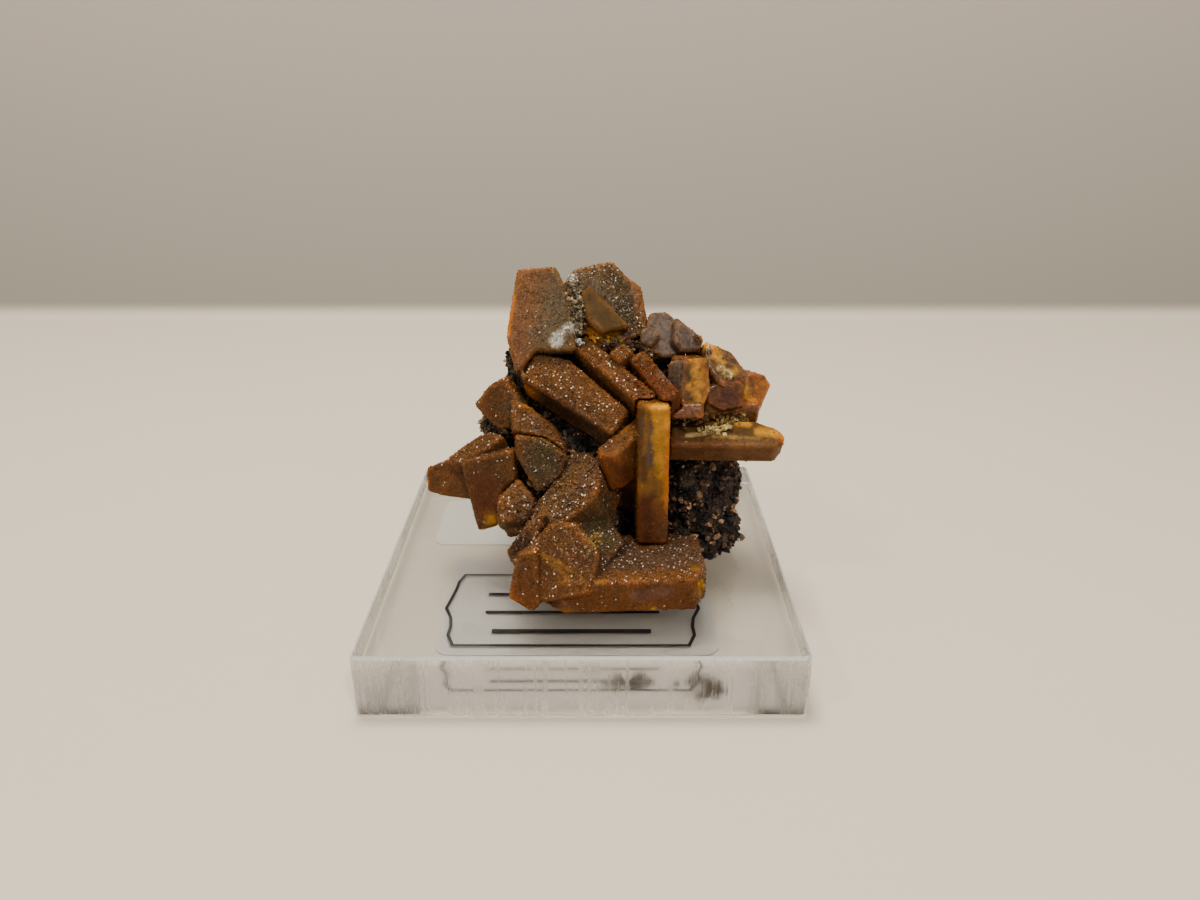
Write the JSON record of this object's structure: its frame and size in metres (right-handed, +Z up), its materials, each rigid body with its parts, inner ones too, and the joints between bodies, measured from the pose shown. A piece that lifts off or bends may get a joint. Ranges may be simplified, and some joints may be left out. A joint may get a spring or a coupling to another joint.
{
  "type": "wulfenite on matrix",
  "caption": "Mineral specimen: a tangle of blocky wulfenite crystals on dark rock, fixed to a square clear acrylic display base.",
  "frame": {"origin": "middle of the underside of the labels under the square base, the lowest plane of the specimen", "axes": "+Z up, +X along the base to the viewer's right, +Y away from the labelled front of the specimen"},
  "size_m": [0.0636, 0.0636, 0.055],
  "materials": {
    "clear_acrylic": "polished clear cast acrylic, see-through",
    "label_paper": "clear-backed label with a black printed border line, no text",
    "sticker_paper": "plain pale cream sticker",
    "matrix_rock": "dark brown-black, granular and dull",
    "wulfenite": "golden to orange brown, sparkling with tiny crystals, faintly translucent at the edges",
    "amber_wulfenite": "amber and olive yellow, glassy in places",
    "grey_wulfenite": "purple-grey, dull and slightly frosted"
  },
  "bodies": {
    "root": {"acrylic_base": "clear_acrylic", "name_label": "label_paper", "back_sticker": "sticker_paper", "matrix": "matrix_rock", "upright_blade": "wulfenite", "wide_bar": "wulfenite", "narrow_bars": "wulfenite", "front_block": "wulfenite", "right_blade": "wulfenite", "back_plates": "wulfenite", "purple_grey_crystals": "grey_wulfenite", "right_cluster": "amber_wulfenite", "left_cluster": "wulfenite", "low_left_crystals": "wulfenite", "upper_left_crystals": "wulfenite", "rear_crystals": "wulfenite"}
  },
  "joints": []
}
